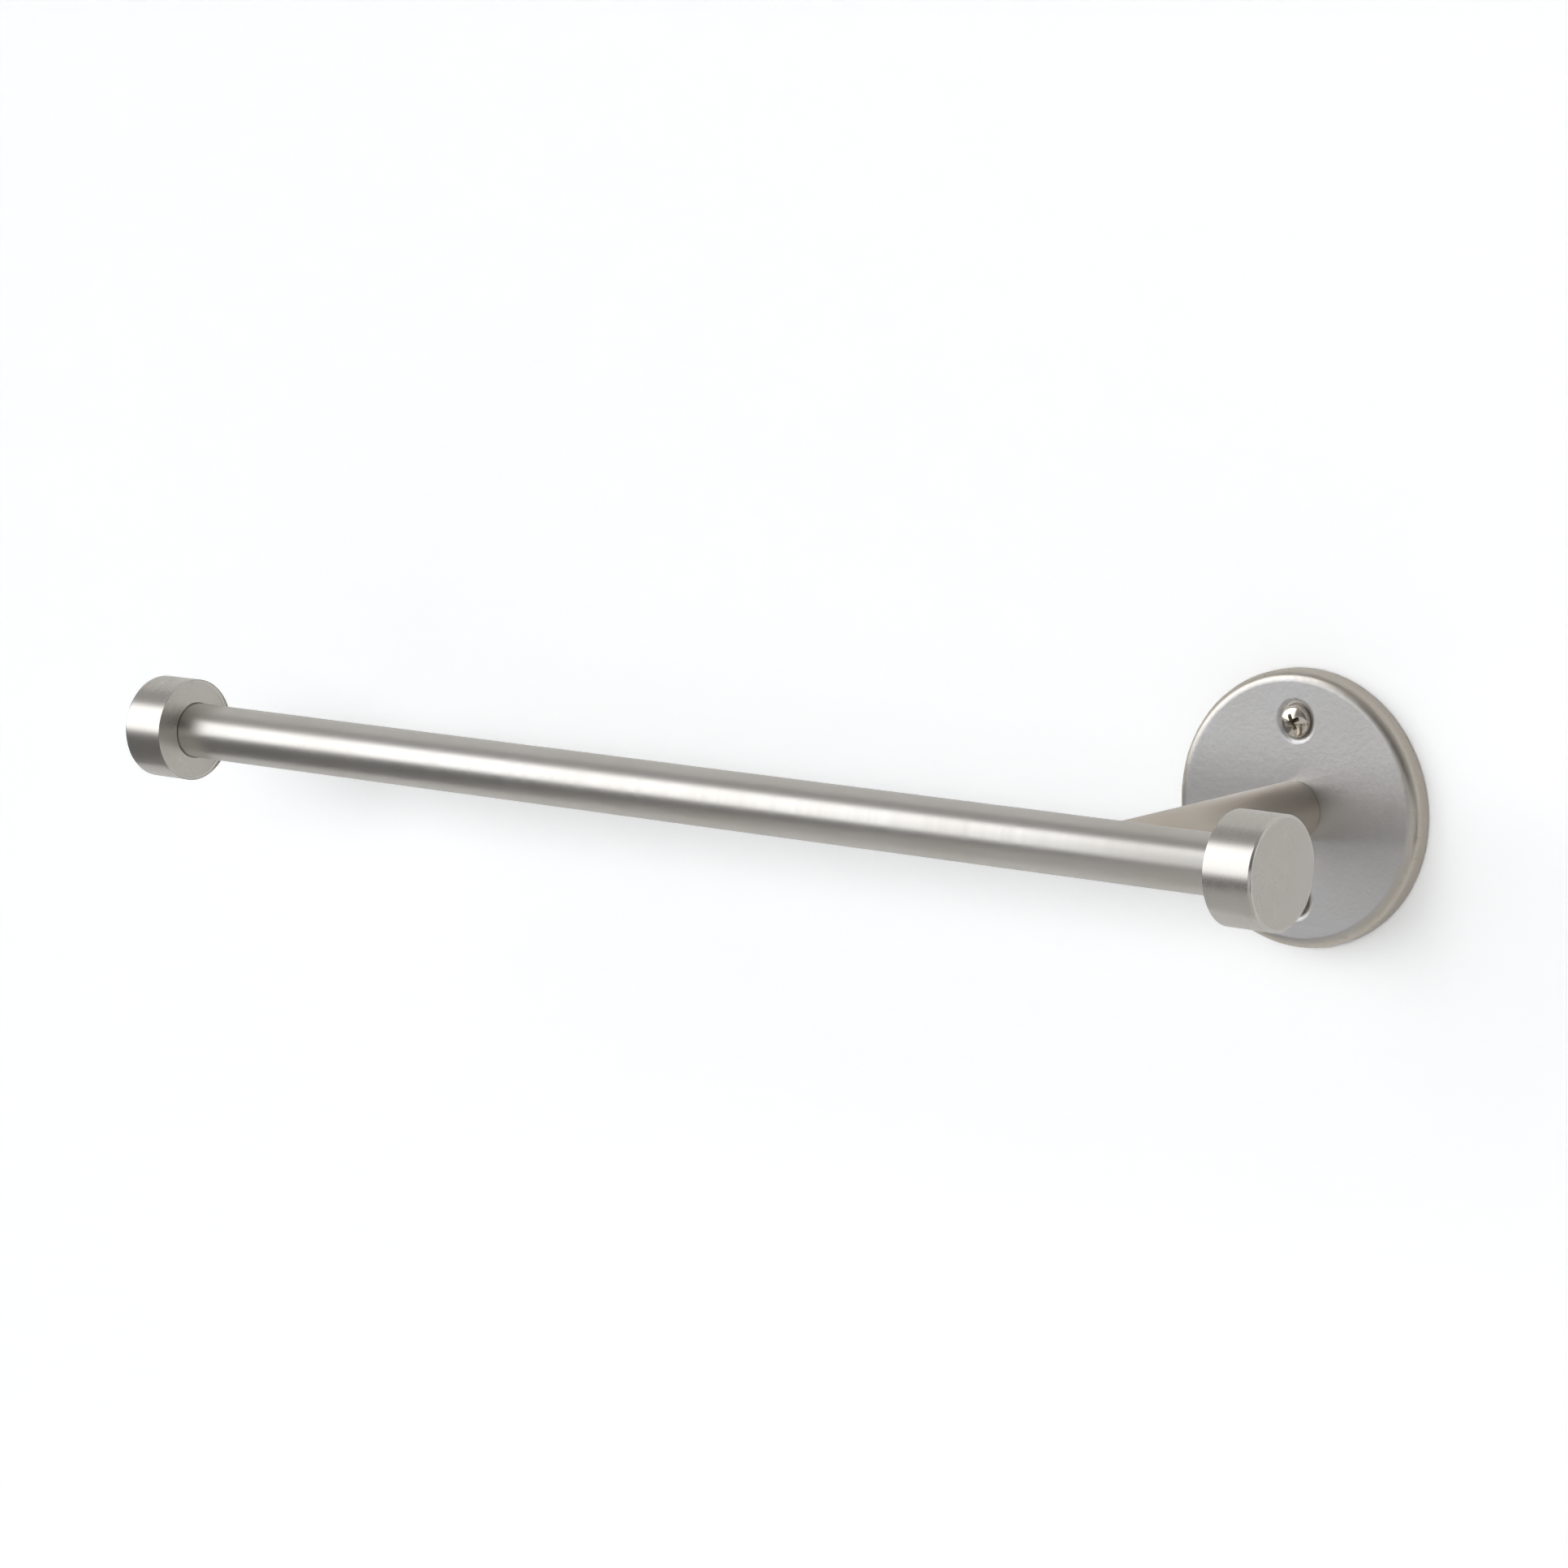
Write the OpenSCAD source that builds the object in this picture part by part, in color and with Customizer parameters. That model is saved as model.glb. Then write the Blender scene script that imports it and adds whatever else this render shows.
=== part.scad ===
// Wall-mounted paper towel holder.
// A round pressed plate screws to the wall. A short stem stands out from it
// and carries a straight bar parallel to the wall, with a cap on each end.
// The bar is open towards its long end, where the roll slides on over the cap.
//
// Axes: +X along the bar towards its short end, +Z up, +Y into the wall.
// Origin: centre of the wall plate, on the wall surface.
// All sizes in millimetres.

/* [Wall plate] */

// Outside diameter of the pressed plate
plate_d = 65.6; // [50:0.2:90]
// Height of the plate's front above the wall
plate_h = 6; // [5:0.1:12]
// Sheet thickness of the plate
plate_t = 1.2; // [0.8:0.1:2]
// Radius of the plate's front shoulder
shoulder_r = 2.7; // [1:0.1:3.5]
// Radius of the plate's rear edge
rear_edge_r = 0.5; // [0.2:0.1:0.6]

/* [Arm] */

// Distance from the wall to the centre line of the bar
reach = 76; // [60:0.1:110]
// Diameter of the stem
stem_d = 14; // [10:0.1:20]
// Wall thickness of the stem tube
stem_t = 1.2; // [0.8:0.1:2]
// Diameter of the bar
bar_d = 14; // [10:0.1:20]
// Wall thickness of the bar tube
bar_t = 1; // [0.8:0.1:2]
// Outer face of the cap at the short end, from the stem's centre line
near_end = 42; // [30:0.5:80]
// Outer face of the cap at the long end, from the stem's centre line
far_end = 302; // [250:0.5:360]

/* [End caps] */

// Diameter of each cap
cap_d = 26; // [20:0.1:36]
// Length of each cap
cap_l = 13; // [9:0.1:20]
// Depth of the pocket that takes the bar
cap_pocket = 7.5; // [5:0.1:9]
// Edge radius of each cap
cap_edge_r = 0.7; // [0.2:0.1:1.5]
// Radial gap between the bar and the cap's pocket
cap_gap = 0.1; // [0.05:0.05:0.4]

/* [Wall fixings] */

// Distance between the two wall screws
screw_pitch = 41.9; // [30:0.1:50]
// Diameter of a wall screw's head
screw_head_d = 7.6; // [6:0.1:9]
// Height of a wall screw's domed head
screw_head_h = 2.6; // [2.2:0.1:3.5]
// Thread diameter of a wall screw
screw_d = 4.2; // [3.6:0.1:5]
// Diameter of the plain neck under a wall screw's head
screw_neck_d = 3.3; // [2:0.1:3.5]
// Length of a wall screw under its head
screw_l = 32; // [25:1:50]
// Depth of the pressed dimple around each screw
dimple_depth = 0.8; // [0.7:0.1:1.6]
// Rounding of the dimple's lip
dimple_lip_r = 2.2; // [1.2:0.1:2.6]
// Steepest slope of the dimple's side, in degrees
dimple_slope = 45; // [36:1:50]

/* [Hidden] */

// List of every piece

// Piece to draw, or all of them

// Number of facets for every round surface
$fn = 96;

// Radii and places worked out from the sizes above
plate_r = plate_d / 2;
stem_r = stem_d / 2;
stem_bore_r = stem_r - stem_t;
bar_r = bar_d / 2;
bar_bore_r = bar_r - bar_t;
cap_r = cap_d / 2;
near_face = near_end - cap_l;
far_face = far_end - cap_l;
bar_right = near_face + cap_pocket;
bar_left = far_face + cap_pocket;

// Clamp screw, M5 with a low domed head
m5_r = 2.5;
m5_clear_r = 2.75;
m5_head_r = 4.75;
m5_head_h = 2.7;
m5_socket_r = 1.73;
m5_socket_depth = 1.6;
clamp_l = 75;

// Square shoulder that stops the stem turning in the plate
square_w = 9;
square_gap = 0.1;
bush_l = 14;

// Washers behind the plate
load_washer_r = 10;
load_washer_t = 1;
tooth_washer_r = 5;
tooth_washer_t = 0.6;
tooth_count = 10;

// Positions along the wall normal, measured from the wall
panel_back = plate_h - plate_t;
washer_back = panel_back - load_washer_t;
tooth_back = washer_back - tooth_washer_t;
screw_seat = plate_h - dimple_depth;

// Pieces inside the bar
nut_l = 24;
insert_l = 15;
stud_l = 14;
stud_in_cap = 4;
stud_socket_r = 1.44;
stud_socket_depth = 2.5;

// Wall screw: the thread starts where the screw enters the wall
dimple_floor_r = screw_head_d / 2 + 0.05;
screw_hole_r = screw_d / 2 + 0.3;
screw_tip_l = 5;
head_dome_r = 8;
head_side_r = 1.2;
cross_w = 1.1;
cross_l = 4.2;
cross_depth = 2;
cross_turn = 28;

// Finishes
nickel = [0.72, 0.70, 0.67];
zinc = [0.62, 0.63, 0.66];
brass = [0.76, 0.66, 0.42];
bright = [0.82, 0.80, 0.77];

// Stands a shape built along +Z out from the wall, along -Y
module out_from_wall(start = 0) {
    translate([0, -start, 0])
        rotate([90, 0, 0])
            children();
}

// Lays a shape built along +Z down along +X
module along_bar(start = 0) {
    translate([start, -reach, 0])
        rotate([0, 90, 0])
            children();
}

// Repeats a piece at both wall screws
module at_screws() {
    for (side = [-1, 1])
        translate([0, 0, side * screw_pitch / 2])
            children();
}

// Round button with a rounded front shoulder and a rounded rear edge
module dish(r, h, front_r, rear_r) {
    rotate_extrude() {
        translate([0, rear_r])
            square([r, h - rear_r - front_r]);
        square([r - rear_r, h - front_r]);
        square([r - front_r, h]);
        translate([r - front_r, h - front_r])
            circle(front_r);
        translate([r - rear_r, rear_r])
            circle(rear_r);
    }
}

// Hollow behind the plate's front panel
module plate_hollow() {
    inner_r = plate_r - plate_t;
    inner_shoulder = shoulder_r - plate_t;
    rotate_extrude() {
        translate([0, -1])
            square([inner_r, panel_back + 1 - inner_shoulder]);
        translate([0, -1])
            square([inner_r - inner_shoulder, panel_back + 1]);
        translate([inner_r - inner_shoulder, panel_back - inner_shoulder])
            circle(inner_shoulder);
    }
}

// Pressed cup at one screw: the metal behind it, before it is hollowed out
module dimple_back() {
    out_from_wall(screw_seat - plate_t)
        cylinder(r = dimple_floor_r + plate_t, h = dimple_depth + plate_t / 2);
}

// Hollow front of the dimple, with a rounded lip, and the screw hole
module dimple_cut() {
    bend = dimple_depth - dimple_lip_r * (1 - cos(dimple_slope));
    bend_r = dimple_floor_r + bend / tan(dimple_slope);
    lip_r = bend_r + dimple_lip_r * sin(dimple_slope);
    top = dimple_depth + 0.01;
    out_from_wall(screw_seat)
        rotate_extrude()
            difference() {
                polygon([[0, 0], [dimple_floor_r, 0], [bend_r, bend],
                         [lip_r, bend], [lip_r, top], [0, top]]);
                translate([lip_r, dimple_depth - dimple_lip_r])
                    circle(dimple_lip_r);
            }
    out_from_wall(screw_seat - plate_t - 1)
        cylinder(r = screw_hole_r, h = plate_t + 2);
}

// Pressed steel plate: a shallow cup with two dimpled screw holes
module wall_plate() {
    color(nickel)
    difference() {
        union() {
            difference() {
                out_from_wall()
                    dish(plate_r, plate_h, shoulder_r, rear_edge_r);
                out_from_wall()
                    plate_hollow();
            }
            at_screws()
                dimple_back();
        }
        at_screws()
            dimple_cut();
        translate([-square_w / 2, -plate_h - 1, -square_w / 2])
            cube([square_w, plate_t + 2, square_w]);
    }
}

// Stem: a tube cut square at the plate and hollowed to sit round the bar
module stem_tube() {
    color(nickel)
    difference() {
        out_from_wall(plate_h)
            cylinder(r = stem_r, h = reach - plate_h);
        out_from_wall(plate_h - 1)
            cylinder(r = stem_bore_r, h = reach);
        along_bar(-stem_d)
            cylinder(r = bar_r, h = 2 * stem_d);
    }
}

// Bush pressed into the stem's rear end, with a square shoulder in the plate
module stem_bush() {
    side = square_w - 2 * square_gap;
    color(zinc)
    difference() {
        union() {
            out_from_wall(plate_h)
                cylinder(r = stem_bore_r, h = bush_l);
            translate([-side / 2, -plate_h, -side / 2])
                cube([side, plate_t - 0.2, side]);
        }
        out_from_wall(0)
            cylinder(r = m5_clear_r, h = plate_h + bush_l + 1);
    }
}

// Long screw that clamps plate, stem and bar together
module clamp_screw() {
    color(zinc)
    difference() {
        union() {
            out_from_wall(tooth_back)
                cylinder(r = m5_r, h = clamp_l);
            out_from_wall(tooth_back)
                rotate([180, 0, 0])
                    domed_head(m5_head_r, m5_head_h, 0.6);
        }
        out_from_wall(tooth_back - m5_head_h - 1)
            cylinder(r = m5_socket_r, h = m5_socket_depth + 1, $fn = 6);
    }
}

// Low domed head standing on its flat underside, rim first
module domed_head(r, h, rim) {
    rise = h - rim;
    dome = (r * r + rise * rise) / (2 * rise);
    rotate_extrude()
        intersection() {
            square([r, h]);
            translate([0, h - dome])
                circle(dome);
        }
}

// Toothed lock washer under the screw's head
module tooth_washer() {
    color(zinc)
    out_from_wall(tooth_back)
    difference() {
        union() {
            cylinder(r = tooth_washer_r - 0.8, h = tooth_washer_t);
            for (i = [0 : tooth_count - 1])
                rotate([0, 0, i * 360 / tooth_count])
                    translate([tooth_washer_r - 1.6, -0.6, 0])
                        cube([1.6, 1.2, tooth_washer_t]);
        }
        translate([0, 0, -1])
            cylinder(r = m5_clear_r, h = tooth_washer_t + 2);
    }
}

// Broad flat washer that spreads the load over the sheet
module load_washer() {
    color(zinc)
    out_from_wall(washer_back)
    difference() {
        cylinder(r = load_washer_r, h = load_washer_t);
        translate([0, 0, -1])
            cylinder(r = m5_clear_r, h = load_washer_t + 2);
    }
}

// Bar: a straight tube with one hole in its back for the clamp screw
module bar_tube() {
    color(nickel)
    difference() {
        along_bar(-bar_left)
            cylinder(r = bar_r, h = bar_left + bar_right);
        along_bar(-bar_left - 1)
            cylinder(r = bar_bore_r, h = bar_left + bar_right + 2);
        out_from_wall(reach - bar_d)
            cylinder(r = m5_clear_r, h = bar_d);
    }
}

// Solid nut inside the bar, tapped across for the clamp screw
module bar_nut() {
    color(zinc)
    difference() {
        along_bar(-nut_l / 2)
            cylinder(r = bar_bore_r, h = nut_l);
        out_from_wall(reach - bar_d)
            cylinder(r = m5_r, h = 2 * bar_d);
    }
}

// Cap standing on its inner face, pocket and tapped hole opening downwards
module cap_body() {
    difference() {
        dish(cap_r, cap_l, cap_edge_r, cap_edge_r);
        translate([0, 0, -1])
            cylinder(r = bar_r + cap_gap, h = cap_pocket + 1);
        translate([0, 0, cap_pocket - 1])
            cylinder(r = m5_r, h = stud_in_cap + 1);
    }
}

// Cap at the short end of the bar
module near_cap() {
    color(nickel)
    along_bar(near_face)
        cap_body();
}

// Cap at the long end of the bar, where the roll slides on
module far_cap() {
    color(nickel)
    along_bar(-far_face)
        rotate([180, 0, 0])
            cap_body();
}

// Tapped plug pressed into one end of the bar
module insert_body() {
    difference() {
        cylinder(r = bar_bore_r, h = insert_l);
        translate([0, 0, -1])
            cylinder(r = m5_r, h = insert_l + 2);
    }
}

// Plug in the bar's short end
module near_insert() {
    color(brass)
    along_bar(bar_right - insert_l)
        insert_body();
}

// Plug in the bar's long end
module far_insert() {
    color(brass)
    along_bar(-bar_left)
        insert_body();
}

// Headless stud with a hex socket in its inner end
module stud() {
    difference() {
        cylinder(r = m5_r, h = stud_l);
        translate([0, 0, -1])
            cylinder(r = stud_socket_r, h = stud_socket_depth + 1, $fn = 6);
    }
}

// Studs that join each cap to the plug in the bar's end
module cap_studs() {
    color(zinc) {
        along_bar(bar_right + stud_in_cap - stud_l)
            stud();
        along_bar(-bar_left - stud_in_cap + stud_l)
            rotate([180, 0, 0])
                stud();
    }
}

// Pan head: a straight side, a rounded shoulder and a low dome above them
module pan_head(r, h, dome, side) {
    side_x = r - side;
    dome_y = sqrt(pow(dome - side, 2) - pow(side_x, 2));
    lift = h - dome + dome_y;
    rotate_extrude()
        intersection() {
            square([r, h]);
            union() {
                square([r, lift]);
                translate([side_x, lift])
                    circle(side);
                intersection() {
                    translate([0, h - dome])
                        circle(dome);
                    translate([0, h - dome])
                        polygon([[0, 0], [3 * side_x, 3 * dome_y], [0, 3 * dome_y]]);
                }
            }
        }
}

// Screw with a cross-recess pan head, standing on its head's flat side
module wall_screw() {
    difference() {
        union() {
            pan_head(screw_head_d / 2, screw_head_h, head_dome_r, head_side_r);
            translate([0, 0, -screw_seat])
                cylinder(r = screw_neck_d / 2, h = screw_seat);
            translate([0, 0, screw_tip_l - screw_l])
                cylinder(r = screw_d / 2, h = screw_l - screw_tip_l - screw_seat);
            translate([0, 0, -screw_l])
                cylinder(r1 = 0.3, r2 = screw_d / 2, h = screw_tip_l);
        }
        for (turn = [cross_turn, cross_turn + 90])
            rotate([0, 0, turn])
                translate([-cross_l / 2, -cross_w / 2, screw_head_h - cross_depth])
                    cube([cross_l, cross_w, cross_depth + 1]);
    }
}

// The two wall screws, seated in the dimples
module wall_screws() {
    color(bright)
    at_screws()
        out_from_wall(screw_seat)
            wall_screw();
}

wall_plate();
stem_tube();
stem_bush();
clamp_screw();
tooth_washer();
load_washer();
bar_tube();
bar_nut();
near_cap();
far_cap();
near_insert();
far_insert();
cap_studs();
wall_screws();
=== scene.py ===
# %% [markdown]
# # A wall-mounted paper towel holder
# A round pressed plate is screwed to a wall. A short stem stands out from it and
# carries a straight bar, and each end of the bar wears a larger cap. Everything that
# shows is satin nickel; a few steel and brass pieces inside hold it together.
#
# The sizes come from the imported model, so nothing here has to be fitted by eye.

# %% Load the frame
import math

import bmesh
import bpy
from mathutils import Matrix, Vector
from mathutils.geometry import delaunay_2d_cdt


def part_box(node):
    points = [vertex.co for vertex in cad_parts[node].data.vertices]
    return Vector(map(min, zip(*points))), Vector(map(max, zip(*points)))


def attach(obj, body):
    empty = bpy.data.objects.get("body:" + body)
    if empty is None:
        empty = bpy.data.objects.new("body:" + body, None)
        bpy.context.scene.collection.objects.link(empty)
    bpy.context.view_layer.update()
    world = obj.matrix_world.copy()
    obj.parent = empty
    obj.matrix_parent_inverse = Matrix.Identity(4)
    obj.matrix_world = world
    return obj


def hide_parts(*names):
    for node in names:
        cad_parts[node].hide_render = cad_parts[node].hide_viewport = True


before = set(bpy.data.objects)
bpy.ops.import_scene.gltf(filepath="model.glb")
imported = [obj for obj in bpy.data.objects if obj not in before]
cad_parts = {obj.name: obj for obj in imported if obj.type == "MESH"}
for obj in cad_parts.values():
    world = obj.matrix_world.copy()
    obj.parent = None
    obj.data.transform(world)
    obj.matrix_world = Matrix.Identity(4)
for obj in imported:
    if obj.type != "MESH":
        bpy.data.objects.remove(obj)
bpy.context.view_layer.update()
print("nodes:", sorted(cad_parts))

# %% [markdown]
# ## Sizes
# Blender works in metres here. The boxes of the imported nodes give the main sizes. The
# few that a box can't give, such as the thickness of the sheet, are named below.

# %% Read the main sizes
MM = 0.001
plate_low, plate_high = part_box("wall_plate")
stem_low, stem_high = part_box("stem_tube")
bar_low, bar_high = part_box("bar_tube")
near_low, near_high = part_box("near_cap")
far_low, far_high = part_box("far_cap")
screws_low, screws_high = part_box("wall_screws")

plate_r, plate_h = plate_high.x, -plate_low.y
stem_r = stem_high.x
bar_r = bar_high.z
reach = -(bar_low.y + bar_high.y) / 2
cap_r, cap_l = near_high.z, near_high.x - near_low.x
head_r = screws_high.x
screw_pitch = 2 * (screws_high.z - head_r)
print("plate radius", round(plate_r / MM, 2), "mm, bar radius", round(bar_r / MM, 2),
      "mm, bar", round(reach / MM, 2), "mm from the wall")

# %% [markdown]
# ## Where things stand
# Every round piece is drawn about its own Z axis first. One of two matrices then stands
# it out from the wall or lays it along the bar, so each shape is described only once.

# %% Place a shape
def out_from_wall(start=0.0, up=0.0):
    """Stands a shape drawn along +Z out from the wall, along -Y."""
    return Matrix.Translation((0, -start, up)) @ Matrix.Rotation(math.pi / 2, 4, "X")


def along_bar(start=0.0):
    """Lays a shape drawn along +Z down along +X, on the bar's centre line."""
    return Matrix.Translation((start, -reach, 0)) @ Matrix.Rotation(math.pi / 2, 4, "Y")


FLIP = Matrix.Rotation(math.pi, 4, "X")

# %% [markdown]
# ## A lathe in a few lines
# Most pieces of the real object are turned or pressed round. A section is a list of
# corners: radius, height, and how far the corner is rounded. Each corner becomes a small
# arc, with a guard point on the flat beside it. The guard keeps the soft shading of the
# arc from creeping over the flat face.
#
# Each point also says how much of an edge it is. That number goes with the mesh, and the
# finish reads it to make the edges smoother, as wear does, and to change their colour:
# brighter where worn on most pieces, and darker and warmer on the plate's rim, a painted
# reflection of the shaded wall beside it.

# %% Round the corners of a section
def rounded_section(corners, steps=6, guard=0.12 * MM):
    """Points (radius, height, edge) of a section whose corners are (radius, height, round)."""
    points = []
    for i, (r, s, rounding) in enumerate(corners):
        here = Vector((r, s))
        if rounding == 0:
            points.append((r, s, 0.0))
            continue
        back = (Vector(corners[i - 1][:2]) - here).normalized()
        ahead = (Vector(corners[i + 1][:2]) - here).normalized()
        half = back.angle(ahead) / 2
        centre = here + (back + ahead).normalized() * rounding / math.sin(half)
        start = here + back * rounding / math.tan(half)
        first = start - centre
        side = 1 if first.x * ahead.y - first.y * ahead.x > 0 else -1
        before = start + back * guard
        points.append((before.x, before.y, 0.0))
        for k in range(steps + 1):
            turned = Matrix.Rotation(side * (math.pi - 2 * half) * k / steps, 2) @ first
            point = centre + turned
            points.append((point.x, point.y, 1.0))
        after = point + ahead * guard
        points.append((after.x, after.y, 0.0))
    return points


# %% Turn a section about its axis
def turn(bm, section, place, segments=128):
    """Adds the surface that a section leaves when it turns once about the local Z axis."""
    edge = bm.verts.layers.float.get("edge") or bm.verts.layers.float.new("edge")
    rings = []
    for r, s, amount in section:
        count = segments if r > 1e-7 else 1
        ring = []
        for i in range(count):
            angle = 2 * math.pi * i / count
            spot = place @ Vector((r * math.cos(angle), r * math.sin(angle), s))
            vert = bm.verts.new(spot)
            vert[edge] = amount
            ring.append(vert)
        rings.append(ring)
    for low, high in zip(rings, rings[1:]):
        for i in range(segments):
            j = (i + 1) % segments
            loop = [low[i % len(low)], low[j % len(low)], high[j % len(high)], high[i % len(high)]]
            loop = list(dict.fromkeys(loop))
            if len(loop) > 2:
                bm.faces.new(loop)
    return rings


# %% Close a mesh and keep it as a piece
def keep_piece(mesh, name, material, sharp=35):
    """Makes a finished object of a mesh, shaded smooth except across sharp edges."""
    mesh.materials.clear()
    mesh.materials.append(material)
    mesh.shade_smooth()
    mesh.set_sharp_from_angle(angle=math.radians(sharp))
    piece = bpy.data.objects.new(name, mesh)
    bpy.context.scene.collection.objects.link(piece)
    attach(piece, "root")
    print(name, "has", len(mesh.polygons), "faces")
    return piece


def close_mesh(bm, name):
    """Merges the seams, turns every face outwards and gives the mesh back."""
    bmesh.ops.remove_doubles(bm, verts=bm.verts, dist=0.001 * MM)
    bmesh.ops.recalc_face_normals(bm, faces=bm.faces)
    mesh = bpy.data.meshes.new(name)
    bm.to_mesh(mesh)
    bm.free()
    return mesh


# %% [markdown]
# ## Finishes
# Satin nickel is plated over metal that was brushed or blasted first, so its look comes
# from very small marks more than from its colour. Three node groups make those marks,
# and each finish mixes them with its own values:
#
# - brushed lines, stretched noise that runs one way round the piece,
# - blasted grains, fine even noise for the pressed plate,
# - handling, soft cloudy patches plus worn edges; on the plate's rim the same mask carries a
#   painted reflection.
#
# Only values that change over the surface leave a group. The colours of each metal and
# everything uniform stay in its own material.

# %% Start a node group
def new_group(name, inputs, outputs):
    """An empty shader group with named sockets, and its two end nodes."""
    group = bpy.data.node_groups.new(name, "ShaderNodeTree")
    for label, kind in inputs:
        group.interface.new_socket(label, in_out="INPUT", socket_type=kind)
    for label in outputs:
        group.interface.new_socket(label, in_out="OUTPUT", socket_type="NodeSocketFloat")
    return group, group.nodes.new("NodeGroupInput"), group.nodes.new("NodeGroupOutput")


def add_noise(tree, vector, scale, detail, roughness=0.5):
    """A noise texture on a vector socket. Its scale is in waves a metre."""
    noise = tree.nodes.new("ShaderNodeTexNoise")
    noise.inputs["Detail"].default_value = detail
    noise.inputs["Roughness"].default_value = roughness
    if isinstance(scale, bpy.types.NodeSocket):
        tree.links.new(scale, noise.inputs["Scale"])
    else:
        noise.inputs["Scale"].default_value = scale
    tree.links.new(vector, noise.inputs["Vector"])
    return noise.outputs["Fac"]


def add_math(tree, operation, *values):
    """A math node on sockets and numbers."""
    node = tree.nodes.new("ShaderNodeMath")
    node.operation = operation
    for socket, value in zip(node.inputs, values):
        if isinstance(value, bpy.types.NodeSocket):
            tree.links.new(value, socket)
        else:
            socket.default_value = value
    return node.outputs[0]


def add_range(tree, value, from_low, from_high, to_low=0.0, to_high=1.0, smooth=False):
    """A map range node, straight or eased at both ends."""
    node = tree.nodes.new("ShaderNodeMapRange")
    node.interpolation_type = "SMOOTHSTEP" if smooth else "LINEAR"
    tree.links.new(value, node.inputs["Value"])
    for label, number in (("From Min", from_low), ("From Max", from_high),
                          ("To Min", to_low), ("To Max", to_high)):
        node.inputs[label].default_value = number
    return node.outputs["Result"]


# %% Brushed lines
def build_brushed_lines():
    """Fine and coarse scratches that run across the axis named by Stretch."""
    group, start, end = new_group(
        "brushed_lines",
        [("Position", "NodeSocketVector"), ("Stretch", "NodeSocketVector")],
        ["Lines"])
    stretched = group.nodes.new("ShaderNodeVectorMath")
    stretched.operation = "MULTIPLY"
    group.links.new(start.outputs["Position"], stretched.inputs[0])
    group.links.new(start.outputs["Stretch"], stretched.inputs[1])
    fine = add_noise(group, stretched.outputs[0], 1.0, 3, 0.6)
    coarse = add_noise(group, stretched.outputs[0], 0.16, 2)
    lines = add_math(group, "MULTIPLY_ADD", coarse, 0.5, add_math(group, "MULTIPLY", fine, 0.5))
    group.links.new(add_range(group, lines, 0.3, 0.7), end.inputs["Lines"])
    return group


# %% Blasted grains
def build_blasted_grains():
    """Small even pits, as bead blasting leaves."""
    group, start, end = new_group(
        "blasted_grains",
        [("Position", "NodeSocketVector"), ("Density", "NodeSocketFloat")],
        ["Grains"])
    grains = add_noise(group, start.outputs["Position"], start.outputs["Density"], 2, 0.65)
    group.links.new(add_range(group, grains, 0.3, 0.7), end.inputs["Grains"])
    return group


# %% Handling
def build_handling():
    """Cloudy patches from fingers, and how far each edge is worn; on the plate's rim this also
    sets a painted reflection.
    """
    group, start, end = new_group(
        "handling",
        [("Position", "NodeSocketVector"), ("Edge", "NodeSocketFloat")],
        ["Smudge", "Edge Wear And Reflection"])
    patches = add_noise(group, start.outputs["Position"], 26.0, 3)
    broken = add_noise(group, start.outputs["Position"], 420.0, 2)
    group.links.new(add_range(group, patches, 0.36, 0.7, smooth=True), end.inputs["Smudge"])
    edge_wear_and_reflection = add_math(group, "MULTIPLY", start.outputs["Edge"],
                      add_range(group, broken, 0.35, 0.65, 0.75, 1.0))
    group.links.new(edge_wear_and_reflection, end.inputs["Edge Wear And Reflection"])
    return group


LINES, GRAINS, HANDLING = build_brushed_lines(), build_blasted_grains(), build_handling()
print("groups:", LINES.name, GRAINS.name, HANDLING.name)

# %% [markdown]
# ## One recipe, several metals
# Each finish is a row of values: the clean and the smudged colour, the roughness between
# the smooth and the rough marks, the way the brushing runs, the size of the grains, and
# how deep the marks are. A brushed piece leans on the lines, a blasted one on the grains.
#
# Two numbers that travel with a mesh change the finish from place to place. Where "edge"
# is high, hands and cloths have worn the marks flat, so it is smoother there, and its colour
# changes: brighter where worn on most pieces, and on the plate's rim darker and warmer, a
# painted reflection of the shaded wall beside it. Where "recess" is high, a punch has left
# the metal dull, and the colour is darkened there as painted shade in the screw's recess.

# %% Mix the groups into a metal
def place_group(tree, group, position, **sockets):
    """Puts a group in a material and gives it its position and values."""
    node = tree.nodes.new("ShaderNodeGroup")
    node.node_tree = group
    tree.links.new(position, node.inputs["Position"])
    for label, value in sockets.items():
        if isinstance(value, bpy.types.NodeSocket):
            tree.links.new(value, node.inputs[label])
        else:
            node.inputs[label].default_value = value
    return node


def mix_colour(tree, factor, first, second):
    """Blends two colours, each a socket or three numbers."""
    node = tree.nodes.new("ShaderNodeMix")
    node.data_type = "RGBA"
    tree.links.new(factor, node.inputs["Factor"])
    for socket, colour in ((node.inputs[6], first), (node.inputs[7], second)):
        if isinstance(colour, bpy.types.NodeSocket):
            tree.links.new(colour, socket)
        else:
            socket.default_value = (*colour, 1)
    return node.outputs[2]


# painted shade: the dark colour deep in a screw's cross recess
RECESS_SHADE = (0.16, 0.12, 0.09)
WORN_FLAT = 0.8
ROUGHER = {"Smudge": 0.035, "Edge Wear And Reflection": -0.12, "recess": 0.25}


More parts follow.
